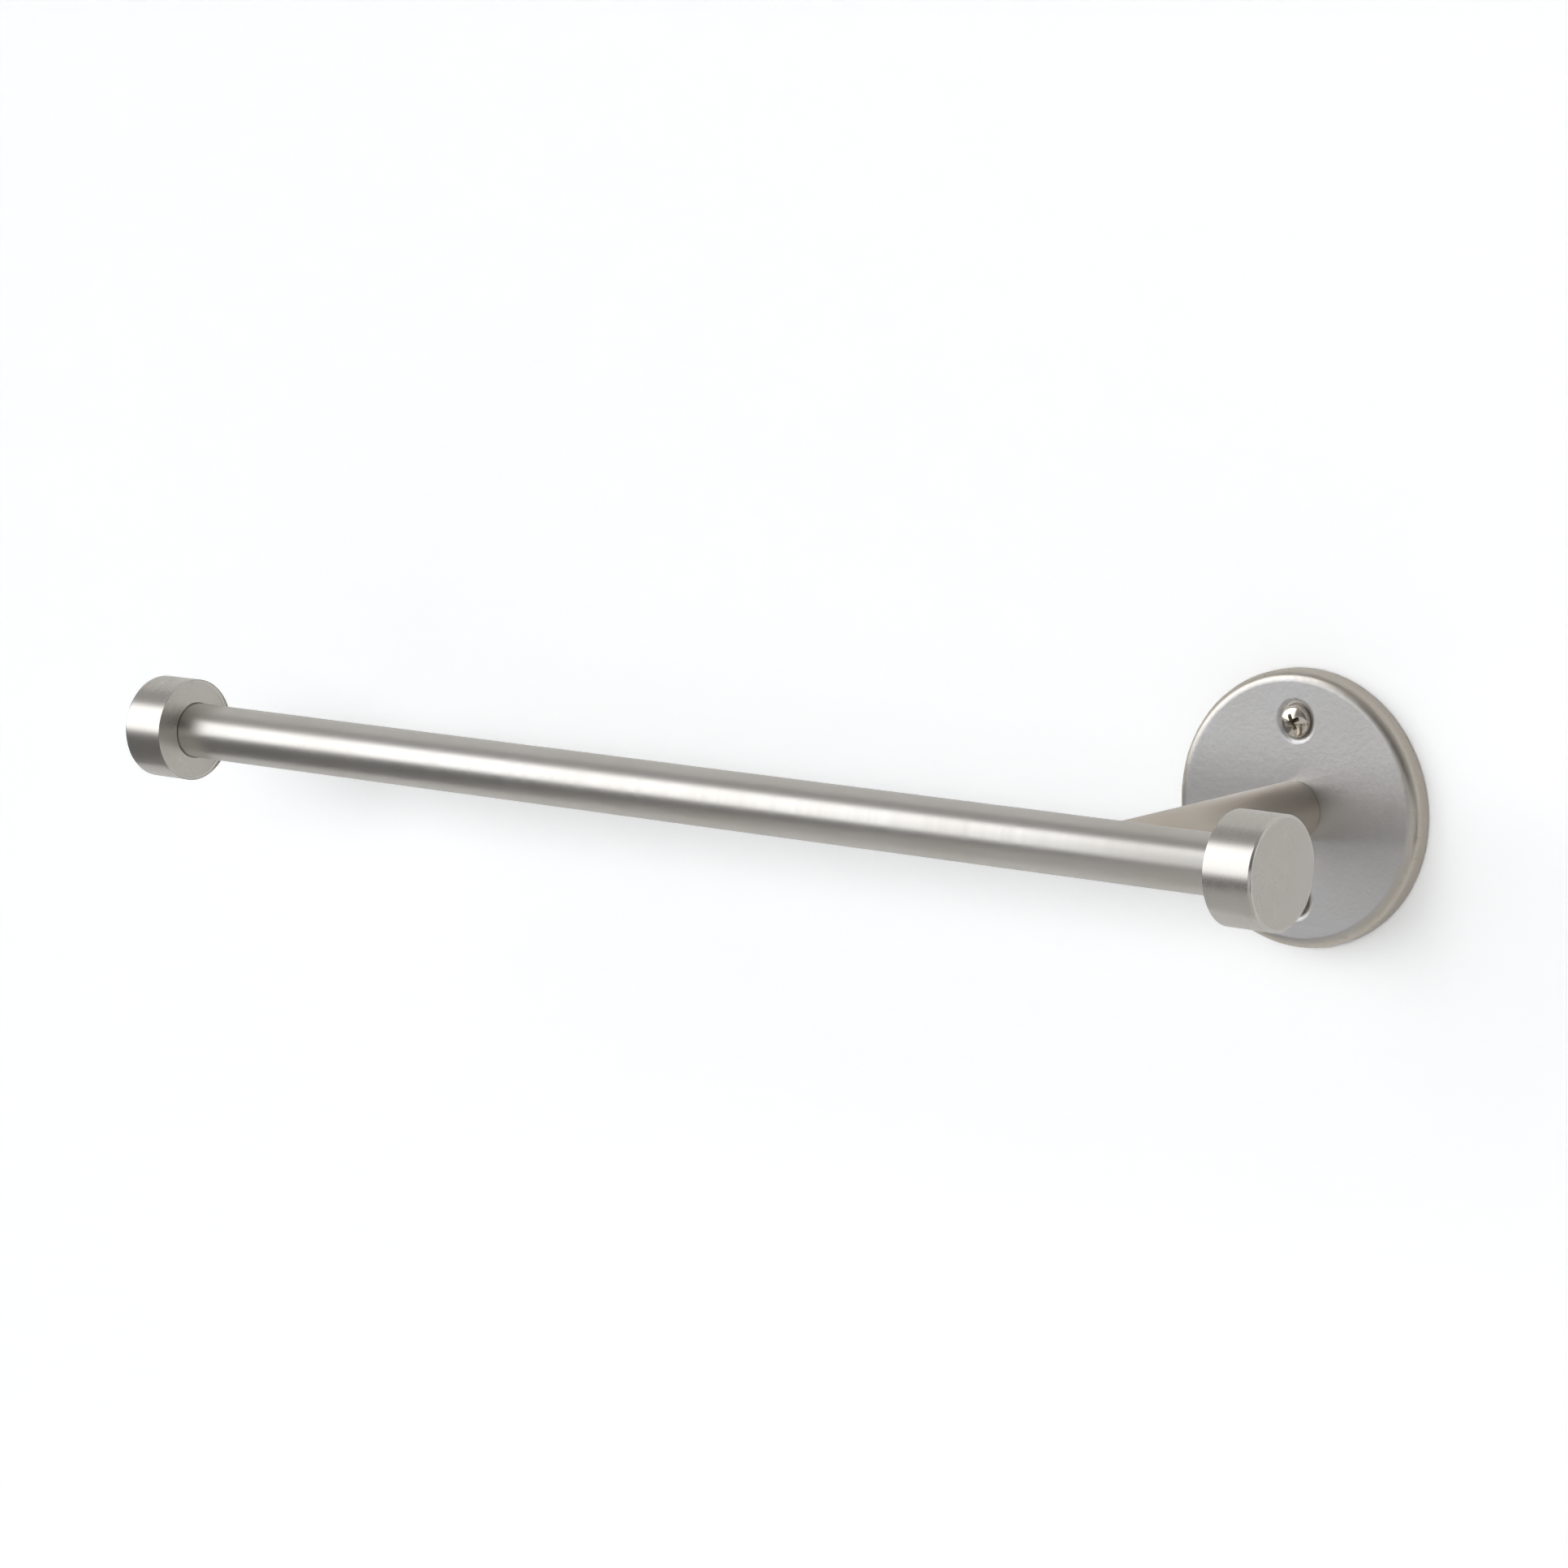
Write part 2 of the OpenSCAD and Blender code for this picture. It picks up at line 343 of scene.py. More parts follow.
def make_metal(name, clean, smudged, edge_wear_and_reflection, rough, stretch, density, line_share, relief):
    """A procedural metal. rough is (smoothest, roughest), and relief the depth of its marks."""
    material = bpy.data.materials.new(name)
    material.use_nodes = True
    tree = material.node_tree
    shader = tree.nodes["Principled BSDF"]
    shader.inputs["Metallic"].default_value = 1.0
    position = tree.nodes.new("ShaderNodeTexCoord").outputs["Object"]
    edge = tree.nodes.new("ShaderNodeAttribute")
    edge.attribute_name = "edge"
    lines = place_group(tree, LINES, position, Stretch=stretch)
    grains = place_group(tree, GRAINS, position, Density=density)
    handling = place_group(tree, HANDLING, position, Edge=edge.outputs["Fac"])

    # the recess mark makes the metal rougher and darkens its colour, painted shade in the screw's
    # cross recess
    recess = tree.nodes.new("ShaderNodeAttribute")
    recess.attribute_name = "recess"
    colour = mix_colour(tree, handling.outputs["Smudge"], clean, smudged)
    # edges take their own colour: worn on most pieces, on the plate's rim a painted reflection of
    # the shaded wall
    colour = mix_colour(tree, handling.outputs["Edge Wear And Reflection"], colour, edge_wear_and_reflection)
    colour = mix_colour(tree, recess.outputs["Fac"], colour, RECESS_SHADE)
    tree.links.new(colour, shader.inputs["Base Color"])

    marks = add_math(tree, "MULTIPLY_ADD", lines.outputs["Lines"], line_share,
                     add_math(tree, "MULTIPLY", grains.outputs["Grains"], 1 - line_share))
    roughness = add_range(tree, marks, 0.0, 1.0, rough[0], rough[1])
    for socket, label in ((handling.outputs["Smudge"], "Smudge"),
                          (handling.outputs["Edge Wear And Reflection"], "Edge Wear And Reflection"),
                          (recess.outputs["Fac"], "recess")):
        roughness = add_math(tree, "MULTIPLY_ADD", socket, ROUGHER[label], roughness)
    tree.links.new(roughness, shader.inputs["Roughness"])

    bump = tree.nodes.new("ShaderNodeBump")
    bump.inputs["Strength"].default_value = 1.0
    bump.inputs["Distance"].default_value = relief
    left = add_math(tree, "MULTIPLY_ADD", edge.outputs["Fac"], -WORN_FLAT, 1.0)
    tree.links.new(add_math(tree, "MULTIPLY", marks, left), bump.inputs["Height"])
    tree.links.new(bump.outputs["Normal"], shader.inputs["Normal"])
    return material


# %% [markdown]
# ## The finishes
# The bar, the stem and the caps share one satin nickel, brushed round the piece. The
# stem's is warmer and the caps' is finer and more even. The plate is blasted before it
# is plated; its rim is smoother, and coloured darker and warmer than the face, a painted
# reflection of the shaded wall beside it. Only the wall screws are polished. Zinc and
# brass are kept for what is hidden.

# %% The finishes of this object
# waves a metre across the brushed lines, and along them
FINE, LONG = 4200, 45
ALONG_X, ALONG_Y, ALONG_Z = (FINE, LONG, LONG), (LONG, FINE, LONG), (LONG, LONG, FINE)
NICKEL = dict(clean=(0.640, 0.620, 0.590), smudged=(0.615, 0.590, 0.552),
              edge_wear_and_reflection=(0.70, 0.68, 0.65), rough=(0.26, 0.38), density=5200)
bar_nickel = make_metal("satin_nickel_bar", stretch=ALONG_X, line_share=0.8,
                        relief=0.0016 * MM, **NICKEL)
stem_nickel = make_metal("satin_nickel_stem", stretch=ALONG_Y, line_share=0.8,
                         relief=0.0016 * MM, **{**NICKEL, "clean": (0.660, 0.608, 0.540),
                                                "smudged": (0.640, 0.580, 0.505)})
cap_nickel = make_metal("satin_nickel_caps", stretch=ALONG_X, line_share=0.5,
                        relief=0.0004 * MM, **{**NICKEL, "rough": (0.245, 0.265)})
# the rim colour, darker and warmer than the face, is a painted reflection of the shaded wall
# beside the plate
plate_nickel = make_metal(
    "satin_nickel_plate", clean=(0.665, 0.655, 0.655), smudged=(0.645, 0.632, 0.620),
    edge_wear_and_reflection=(0.640, 0.592, 0.520), rough=(0.36, 0.45), stretch=ALONG_Z, density=800,
    line_share=0.1, relief=0.018 * MM)
bright_nickel = make_metal(
    "polished_nickel", clean=(0.74, 0.69, 0.61), smudged=(0.70, 0.64, 0.56),
    edge_wear_and_reflection=(0.80, 0.76, 0.70), rough=(0.07, 0.16), stretch=ALONG_Z, density=6000,
    line_share=0.4, relief=0.0004 * MM)
zinc = make_metal(
    "zinc_plated_steel", clean=(0.56, 0.58, 0.61), smudged=(0.50, 0.50, 0.48),
    edge_wear_and_reflection=(0.66, 0.67, 0.68), rough=(0.24, 0.42), stretch=ALONG_Y, density=2600,
    line_share=0.3, relief=0.002 * MM)
brass = make_metal(
    "turned_brass", clean=(0.72, 0.55, 0.29), smudged=(0.60, 0.43, 0.21),
    edge_wear_and_reflection=(0.82, 0.67, 0.40), rough=(0.22, 0.38), stretch=ALONG_X, density=2600,
    line_share=0.7, relief=0.002 * MM)
print("finishes:", [m.name for m in (bar_nickel, stem_nickel, cap_nickel, plate_nickel,
                                     bright_nickel, zinc, brass)])

# %% [markdown]
# ## The wall plate
# The real plate is one disc of steel sheet, pressed into a shallow cup. Its shoulder is
# soft, its rim turns back to the wall, and each screw sits in a shallow pressed dimple.
# A dimple is a short cone with a wide soft lip and a flat floor for the screw head.
#
# Pushing a flat grid about would leave ragged dimples. Instead the three round parts are
# turned from exact sections, both sides of the sheet at once, and a triangulated panel
# fills the flat between them. The panel's edge points match the turned rings, so merging
# close points gives one closed sheet.

# %% Sections of the pressed sheet
SHEET_T = 1.2 * MM
SHOULDER = 2.7 * MM
DIMPLE_DEPTH, DIMPLE_LEAN = 0.8 * MM, math.radians(45)
DIMPLE_R = head_r + 0.05 * MM
LIP, FLOOR_BEND = 2.2 * MM, 0.1 * MM
HOLE_R = 2.4 * MM
SQUARE = 4.5 * MM
panel_r = plate_r - SHOULDER - 1.4 * MM
lip_r = (DIMPLE_R + LIP * math.sin(DIMPLE_LEAN)
         + (DIMPLE_DEPTH - LIP * (1 - math.cos(DIMPLE_LEAN))) / math.tan(DIMPLE_LEAN))
ring_r = lip_r + 0.3 * MM
back_h, seat_h = plate_h - SHEET_T, plate_h - DIMPLE_DEPTH
dimple_back_h = seat_h - SHEET_T

rim_section = rounded_section([
    (panel_r, plate_h, 0), (plate_r, plate_h, SHOULDER), (plate_r, 0, 0.5 * MM),
    (plate_r - SHEET_T, 0, 0.15 * MM), (plate_r - SHEET_T, back_h, SHOULDER - SHEET_T),
    (panel_r, back_h, 0)], steps=10)
# the rim's smoothing and painted reflection start where the shoulder starts, and are full halfway
# round it
shoulder_r = plate_r - SHOULDER
rim_section = [(r, s, min(max(2 * (r - shoulder_r) / SHOULDER, 0.0), 1.0))
               for r, s, edge in rim_section]
lip_corner_r = lip_r - LIP * math.tan(DIMPLE_LEAN / 2)
dimple_section = rounded_section([
    (ring_r, plate_h, 0), (lip_corner_r, plate_h, LIP), (DIMPLE_R, seat_h, FLOOR_BEND),
    (HOLE_R, seat_h, 0.15 * MM), (HOLE_R, dimple_back_h, 0.15 * MM),
    (DIMPLE_R + SHEET_T, dimple_back_h, 0.4 * MM), (DIMPLE_R + SHEET_T, back_h, 0.3 * MM),
    (ring_r, back_h, 0)], steps=12, guard=0.01 * MM)
# the dimples, under the screw heads, get no edge smoothing and no painted reflection
dimple_section = [(r, s, 0.0) for r, s, edge in dimple_section]
print("rim has", len(rim_section), "points, each dimple", len(dimple_section))


# %% A flat panel with round and square holes
def circle_points(centre, radius, count):
    return [Vector((centre[0] + radius * math.cos(2 * math.pi * i / count),
                    centre[1] + radius * math.sin(2 * math.pi * i / count)))
            for i in range(count)]


def square_points(half, rounding, steps=3):
    """The outline of a square hole with small rounded corners."""
    points = []
    for quarter in range(4):
        turn_to = Matrix.Rotation(quarter * math.pi / 2, 2)
        for k in range(steps + 1):
            angle = math.pi / 2 * k / steps
            corner = Vector((half - rounding + rounding * math.cos(angle),
                             half - rounding + rounding * math.sin(angle)))
            points.append(turn_to @ corner)
    return points


def fill_panel(bm, outlines, inside_hole, place, height):
    """Fills the space inside the first outline and outside the others, at one height."""
    points, edges = [], []
    for outline in outlines:
        first = len(points)
        points += outline
        edges += [(first + i, first + (i + 1) % len(outline)) for i in range(len(outline))]
    flat, _, triangles, *_ = delaunay_2d_cdt(points, edges, [], 1, 1e-7)
    verts = [bm.verts.new(place @ Vector((p.x, p.y, height))) for p in flat]
    for triangle in triangles:
        middle = sum((flat[i] for i in triangle), Vector((0, 0))) / 3
        if not inside_hole(middle):
            bm.faces.new([verts[i] for i in triangle])


# %% Press the plate
RIM_STEPS, DIMPLE_STEPS = 256, 72
dimples = [Vector((0, -screw_pitch / 2)), Vector((0, screw_pitch / 2))]
square = square_points(SQUARE, 0.4 * MM)


def in_plate_hole(point):
    near_dimple = any((point - centre).length < ring_r * 0.999 for centre in dimples)
    return near_dimple or max(abs(point.x), abs(point.y)) < SQUARE * 0.999


bm = bmesh.new()
turn(bm, rim_section, out_from_wall(), RIM_STEPS)
for centre in dimples:
    turn(bm, dimple_section, out_from_wall(up=centre.y), DIMPLE_STEPS)
outlines = [circle_points((0, 0), panel_r, RIM_STEPS), square]
outlines += [circle_points(centre, ring_r, DIMPLE_STEPS) for centre in dimples]
for height in (plate_h, back_h):
    fill_panel(bm, outlines, in_plate_hole, out_from_wall(), height)
for i, here in enumerate(square):
    there = square[(i + 1) % len(square)]
    wall = [(here, plate_h), (there, plate_h), (there, back_h), (here, back_h)]
    bm.faces.new([bm.verts.new(out_from_wall() @ Vector((*p, h))) for p, h in wall])
plate_mesh = close_mesh(bm, "pressed_plate")
plate = keep_piece(plate_mesh, "pressed_plate", plate_nickel)
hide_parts("wall_plate")

# %% [markdown]
# ## The stem
# The stem is a tube of the same diameter as the bar. Its rear end is cut square with a
# slight chamfer, which leaves a fine dark line on the plate. Its front end is shaped to
# sit round the bar. Two equal tubes meet in a flat curve on each side, so the cut is
# easy to say: the tube ends one sideways step short of the bar's centre line.

# %% Build the stem
STEM_BORE = stem_r - 1.2 * MM
STEM_STEPS = 160
# the end goes this little into the bar, so that no light comes through the joint
SINK = 0.02 * MM


def stem_end(radius, angle):
    """How far out from the wall the stem's front end is, at one place round it."""
    across = radius * math.sin(angle)
    return reach - math.sqrt(max(bar_r ** 2 - across ** 2, 0)) + SINK


bm = bmesh.new()
columns = []
for i in range(STEM_STEPS):
    angle = 2 * math.pi * i / STEM_STEPS
    outer, inner = stem_end(stem_r, angle), stem_end(STEM_BORE, angle)
    section = [(STEM_BORE, plate_h), (stem_r - 0.22 * MM, plate_h),
               (stem_r - 0.05 * MM, plate_h + 0.08 * MM), (stem_r, plate_h + 0.25 * MM),
               (stem_r, plate_h + 0.4 * MM), (stem_r, outer - 0.3 * MM), (stem_r, outer),
               (STEM_BORE, inner), (STEM_BORE, inner - 0.3 * MM)]
    columns.append([bm.verts.new(out_from_wall() @ Vector(
        (r * math.cos(angle), r * math.sin(angle), s))) for r, s in section])
for i, column in enumerate(columns):
    nearby = columns[(i + 1) % STEM_STEPS]
    for k in range(len(column)):
        above = (k + 1) % len(column)
        bm.faces.new([column[k], nearby[k], nearby[above], column[above]])
stem = keep_piece(close_mesh(bm, "coped_stem"), "coped_stem", stem_nickel)
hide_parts("stem_tube")

# %% [markdown]
# ## Rings and tubes with Geometry Nodes
# A tube, a washer and a plug all follow one rule: a small rectangle, the cut wall, swept
# round a circle. That rule is a good first Geometry Nodes tree. Its inputs are the real
# sizes, so the same tree makes the long bar and the thin washer.

# %% Helpers for Geometry Nodes
def new_tree(name, inputs):
    """An empty geometry tree with named inputs, and a function that adds wired nodes."""
    tree = bpy.data.node_groups.new(name, "GeometryNodeTree")
    for label, kind in inputs:
        tree.interface.new_socket(label, in_out="INPUT", socket_type="NodeSocket" + kind)
    tree.interface.new_socket("Geometry", in_out="OUTPUT", socket_type="NodeSocketGeometry")
    start = tree.nodes.new("NodeGroupInput")

    def add(kind, inputs=None, **settings):
        node = tree.nodes.new(kind)
        for label, value in settings.items():
            setattr(node, label, value)
        for label, value in (inputs or {}).items():
            if isinstance(value, bpy.types.NodeSocket):
                tree.links.new(value, node.inputs[label])
            else:
                node.inputs[label].default_value = value
        return node.outputs[0]

    return tree, start.outputs, add


def finish_tree(tree, start, add, geometry):
    """Ends a tree as the export needs: real mesh with its material set."""
    real = add("GeometryNodeRealizeInstances", {"Geometry": geometry})
    done = add("GeometryNodeSetMaterial", {"Geometry": real, "Material": start["Material"]})
    end = tree.nodes.new("NodeGroupOutput")
    tree.links.new(done, end.inputs["Geometry"])


def run_tree(tree, name, values, source=None):
    """Runs a tree once and gives its plain mesh back. source is the mesh it works on."""
    carrier = bpy.data.objects.new(name, source or bpy.data.meshes.new(name))
    bpy.context.scene.collection.objects.link(carrier)
    modifier = carrier.modifiers.new(tree.name, "NODES")
    modifier.node_group = tree
    sockets = {item.name: item.identifier for item in tree.interface.items_tree
               if item.in_out == "INPUT"}
    for label, value in values.items():
        modifier[sockets[label]] = value
    graph = bpy.context.evaluated_depsgraph_get()
    mesh = bpy.data.meshes.new_from_object(carrier.evaluated_get(graph), depsgraph=graph)
    bpy.data.objects.remove(carrier)
    return mesh


# %% The ring tree
def build_ring_tree():
    tree, start, add = new_tree("turned_ring", [
        ("Outer Radius", "Float"), ("Inner Radius", "Float"), ("Length", "Float"),
        ("Edge", "Float"), ("Segments", "Int"), ("Material", "Material")])
    wall = add("ShaderNodeMath", {0: start["Outer Radius"], 1: start["Inner Radius"]},
               operation="SUBTRACT")
    both = add("ShaderNodeMath", {0: start["Outer Radius"], 1: start["Inner Radius"]},
               operation="ADD")
    middle = add("ShaderNodeMath", {0: both, 1: 0.5}, operation="MULTIPLY")
    path = add("GeometryNodeCurvePrimitiveCircle",
               {"Resolution": start["Segments"], "Radius": middle})
    cut = add("GeometryNodeCurvePrimitiveQuadrilateral",
              {"Width": wall, "Height": start["Length"]})
    cut = add("GeometryNodeFilletCurve",
              {"Curve": cut, "Radius": start["Edge"], "Count": 4}, mode="POLY")
    swept = add("GeometryNodeCurveToMesh", {"Curve": path, "Profile Curve": cut})
    finish_tree(tree, start, add, swept)
    return tree


RING_TREE = build_ring_tree()


def ring_mesh(name, outer, inner, length, edge, material, place, segments=128):
    """A ring or tube that starts at the local origin and runs along +Z."""
    mesh = run_tree(RING_TREE, name, {
        "Outer Radius": outer, "Inner Radius": inner, "Length": length, "Edge": edge,
        "Segments": segments, "Material": material})
    mesh.transform(place @ Matrix.Translation((0, 0, length / 2)))
    bm = bmesh.new()
    bm.from_mesh(mesh)
    return close_mesh(bm, name)


# %% [markdown]
# ## The bar
# The bar is a straight tube, brushed crosswise while it turned, so its fine lines run
# round it. They show where the long highlight fades out. Its ends sit inside the caps.

# %% Sweep the bar
BAR_T = 1.0 * MM
bar_mesh = ring_mesh("brushed_bar", bar_r, bar_r - BAR_T, bar_high.x - bar_low.x, 0.15 * MM,
                     bar_nickel, along_bar(bar_low.x), segments=160)
bar = keep_piece(bar_mesh, "brushed_bar", bar_nickel)
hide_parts("bar_tube")
print("bar box", [round(v / MM, 2) for v in (*bar.bound_box[0], *bar.bound_box[6])])

# %% [markdown]
# ## The caps
# Each cap is a solid turned button with a pocket for the bar. The pocket is a hair wider
# than the bar, which leaves the fine dark ring where the bar goes in. Both caps are the
# same piece: the far one is only turned round.

# %% Turn the caps
POCKET_R, POCKET_L = bar_r + 0.1 * MM, 7.5 * MM
TAPPED_R, TAPPED_L = 2.5 * MM, 4.0 * MM
cap_section = rounded_section([
    (0, cap_l, 0), (cap_r, cap_l, 0.7 * MM), (cap_r, 0, 0.7 * MM), (POCKET_R, 0, 0.1 * MM),
    (POCKET_R, POCKET_L, 0.1 * MM), (TAPPED_R, POCKET_L, 0.1 * MM),
    (TAPPED_R, POCKET_L + TAPPED_L, 0.1 * MM), (0, POCKET_L + TAPPED_L, 0)], steps=8)
for name, node, place in (("near_end_cap", "near_cap", along_bar(near_low.x)),
                          ("far_end_cap", "far_cap", along_bar(far_high.x) @ FLIP)):
    bm = bmesh.new()
    turn(bm, cap_section, place, 192)
    cap = keep_piece(close_mesh(bm, name), name, cap_nickel)
    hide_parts(node)

# %% [markdown]
# ## Screw threads
# A thread is a three-sided ridge that follows a helix. In Geometry Nodes that is a spiral
# curve with a small triangle swept along it. The triangle's base sinks a little way into
# the plain core, so ridge and core read as one piece of metal.

# %% The thread tree
def build_thread_tree():
    tree, start, add = new_tree("thread", [
        ("Crest Start", "Float"), ("Crest End", "Float"), ("Depth", "Float"),
        ("Width", "Float"), ("Pitch", "Float"), ("Length", "Float"), ("Material", "Material")])
    turns = add("ShaderNodeMath", {0: start["Length"], 1: start["Pitch"]}, operation="DIVIDE")
    path = add("GeometryNodeCurveSpiral", {
        "Resolution": 28, "Rotations": turns, "Start Radius": start["Crest Start"],
        "End Radius": start["Crest End"], "Height": start["Length"], "Reverse": False})
    path = add("GeometryNodeSetCurveNormal", {"Curve": path}, mode="Z_UP")
    base = add("ShaderNodeMath", {0: start["Depth"], 1: -1.0}, operation="MULTIPLY")
    half = add("ShaderNodeMath", {0: start["Width"], 1: 0.5}, operation="MULTIPLY")
    other = add("ShaderNodeMath", {0: half, 1: -1.0}, operation="MULTIPLY")
    corner_a = add("ShaderNodeCombineXYZ", {"X": base, "Y": half})
    corner_b = add("ShaderNodeCombineXYZ", {"X": base, "Y": other})
    ridge = add("GeometryNodeCurvePrimitiveQuadrilateral", {
        "Point 1": (0.0, 0.03 * MM, 0.0), "Point 2": corner_a, "Point 3": corner_b,
        "Point 4": (0.0, -0.03 * MM, 0.0)}, mode="POINTS")
    swept = add("GeometryNodeCurveToMesh",
                {"Curve": path, "Profile Curve": ridge, "Fill Caps": True})
    finish_tree(tree, start, add, swept)
    return tree


THREAD_TREE = build_thread_tree()


def thread_mesh(name, start_r, end_r, depth, width, pitch, length, material, place):
    """A helical ridge along local +Z."""
    mesh = run_tree(THREAD_TREE, name, {
        "Crest Start": start_r, "Crest End": end_r, "Depth": depth, "Width": width,
        "Pitch": pitch, "Length": length, "Material": material})
    mesh.transform(place)
    return mesh


# %% [markdown]
# ## Wall screws
# Each screw has a pan head with a cross recess, a plain neck, and a coarse thread that
# ends in a point. A pan head is a low dome with a rounded shoulder and a short straight
# side. The head is turned, then the recess is cut by two tapered blades. The cut edges
# get a very small bevel, because a real recess is punched and never sharp. The walls of
# the recess are marked, so that the finish makes them dull and paints shade on them,
# darker the deeper they go.

# %% Cut a recess into a head
def blade(half_l, half_w, low_l, low_w, top, depth):
    """A tapered cutter: wide at the top of the head, narrow at the bottom of the recess."""
    bm = bmesh.new()
    corners = []
    for l, w, s in ((low_l, low_w, top - depth), (half_l, half_w, top),
                    (half_l, half_w, top + MM)):
        corners.append([bm.verts.new((x * l, y * w, s))
                        for x, y in ((-1, -1), (1, -1), (1, 1), (-1, 1))])
    for low, high in zip(corners, corners[1:]):
        for i in range(4):
            bm.faces.new([low[i], low[(i + 1) % 4], high[(i + 1) % 4], high[i]])
    bm.faces.new(corners[0][::-1])
    bm.faces.new(corners[-1])
    return close_mesh(bm, "blade")


def cut_away(mesh, cutters, bevel):
    """Cuts each cutter out of a mesh, then breaks the sharp edges."""
    body = bpy.data.objects.new("blank", mesh)
    bpy.context.scene.collection.objects.link(body)
    tools = []
    for cutter in cutters:
        tool = bpy.data.objects.new("cutter", cutter)
        bpy.context.scene.collection.objects.link(tool)
        cut = body.modifiers.new("cut", "BOOLEAN")
        cut.operation, cut.object, cut.solver = "DIFFERENCE", tool, "EXACT"
        tools.append(tool)
    edges = body.modifiers.new("break edges", "BEVEL")
    edges.width, edges.segments = bevel, 2
    edges.limit_method, edges.angle_limit = "ANGLE", math.radians(38)
    graph = bpy.context.evaluated_depsgraph_get()
    result = bpy.data.meshes.new_from_object(body.evaluated_get(graph), depsgraph=graph)
    for thing in (body, *tools):
        bpy.data.objects.remove(thing)
    return result


# depth at which a recess wall is fully dull and fully darkened by painted shade
DULL_AND_SHADE_FROM = 0.5 * MM


def mark_recess(mesh, dome_radius, height, reach_r):
    """Marks the walls of a recess, which a punch leaves dull; the same mark paints shade there,
    darker the deeper the wall goes.
    """
    mark = mesh.attributes.new("recess", "FLOAT", "POINT")
    for vert, value in zip(mesh.vertices, mark.data):
        across = math.hypot(vert.co.x, vert.co.y)
        if across < reach_r:
            surface = height - dome_radius + math.sqrt(dome_radius ** 2 - across ** 2)
            deep = min(max((surface - vert.co.z) / DULL_AND_SHADE_FROM, 0), 1)
            value.value = deep if vert.co.z > 0 else 0


# %% Outlines of two kinds of head
def dome_points(dome, height, widest, steps):
    """Points down a dome of the given radius, from its crown to an angle."""
    angles = [widest * k / steps for k in range(steps + 1)]
    return [(dome * math.sin(a), height - dome + dome * math.cos(a), 0) for a in angles]


def domed_section(radius, height, rim, steps=14):
    """Half the outline of a domed head, from its crown down to its rim."""
    rise = height - rim
    dome = (radius ** 2 + rise ** 2) / (2 * rise)
    return dome_points(dome, height, math.asin(radius / dome), steps)


def pan_section(radius, height, dome, side, steps=10):
    """Half the outline of a pan head: a low dome, a rounded shoulder, a straight side."""
    lean = math.asin((radius - side) / (dome - side))
    lift = height - dome + (dome - side) * math.cos(lean)
    points = dome_points(dome, height, lean, steps)
    for k in range(1, steps + 1):
        angle = lean + (math.pi / 2 - lean) * k / steps
        points.append((radius - side + side * math.sin(angle), lift + side * math.cos(angle), 0))
    return points


# %% Turn the wall screw
NECK_R, CORE_R, CREST_R, TIP_L = 1.65 * MM, 1.5 * MM, 2.1 * MM, 5.0 * MM
HEAD_DOME, HEAD_SIDE = 8.0 * MM, 1.2 * MM
CROSS_TURN, CROSS_DEPTH = 28, 2.1 * MM
head_h = -screws_low.y - seat_h
shaft_l = seat_h + screws_high.y
head = pan_section(head_r, head_h, HEAD_DOME, HEAD_SIDE)
head += [(head_r, 0.08 * MM, 0), (head_r - 0.08 * MM, 0, 0), (NECK_R, 0, 0),
         (NECK_R, -seat_h, 0), (CORE_R, -seat_h - 0.5 * MM, 0),
         (CORE_R, TIP_L - shaft_l, 0), (0.25 * MM, -shaft_l + 0.15 * MM, 0), (0, -shaft_l, 0)]
bm = bmesh.new()
turn(bm, head, Matrix.Identity(4), 64)
blank = close_mesh(bm, "screw_blank")
# half lengths and half widths of a blade, at the top of the head and at its own tip
wing = blade(2.1 * MM, 0.5 * MM, 1.0 * MM, 0.3 * MM, head_h, CROSS_DEPTH)
wings = []
for degrees in (CROSS_TURN, CROSS_TURN + 90):
    copy = wing.copy()
    copy.transform(Matrix.Rotation(math.radians(degrees), 4, "Z"))
    wings.append(copy)
screw_mesh = cut_away(blank, wings, 0.06 * MM)
# the recess walls get duller metal and painted shade
mark_recess(screw_mesh, HEAD_DOME, head_h, head_r - HEAD_SIDE)
print("screw blank has", len(screw_mesh.polygons), "faces after cutting")

# %% Join the thread to the screw
PITCH = 1.8 * MM
thread_depth = CREST_R - CORE_R + 0.15 * MM
straight = thread_mesh("straight", CREST_R, CREST_R, thread_depth, 0.75 * MM, PITCH,
                       shaft_l - seat_h - TIP_L, bright_nickel,
                       Matrix.Translation((0, 0, TIP_L - shaft_l)))
tapered = thread_mesh("tapered", 0.45 * MM, CREST_R, thread_depth * 0.7, 0.7 * MM, PITCH,
                      TIP_L * 0.9, bright_nickel,
                      Matrix.Translation((0, 0, 0.1 * TIP_L - shaft_l)))
bm = bmesh.new()
for mesh in (screw_mesh, straight, tapered):
    bm.from_mesh(mesh)
one_screw = bpy.data.meshes.new("one_screw")
bm.to_mesh(one_screw)
bm.free()
one_screw.transform(out_from_wall(seat_h))


# %% [markdown]
# ## Two screws from one
# The plate takes two of the same screw. A short tree copies a mesh along a line, which
# is how any row of equal fasteners can be made.

# %% Repeat a mesh along a line
def build_row_tree():
    tree, start, add = new_tree("row_of_copies", [
        ("Geometry", "Geometry"), ("Count", "Int"), ("Start", "Vector"), ("Step", "Vector"),
        ("Material", "Material")])
    spots = add("GeometryNodeMeshLine", {
        "Count": start["Count"], "Start Location": start["Start"], "Offset": start["Step"]})
    copies = add("GeometryNodeInstanceOnPoints",
                 {"Points": spots, "Instance": start["Geometry"]})
    finish_tree(tree, start, add, copies)
    return tree


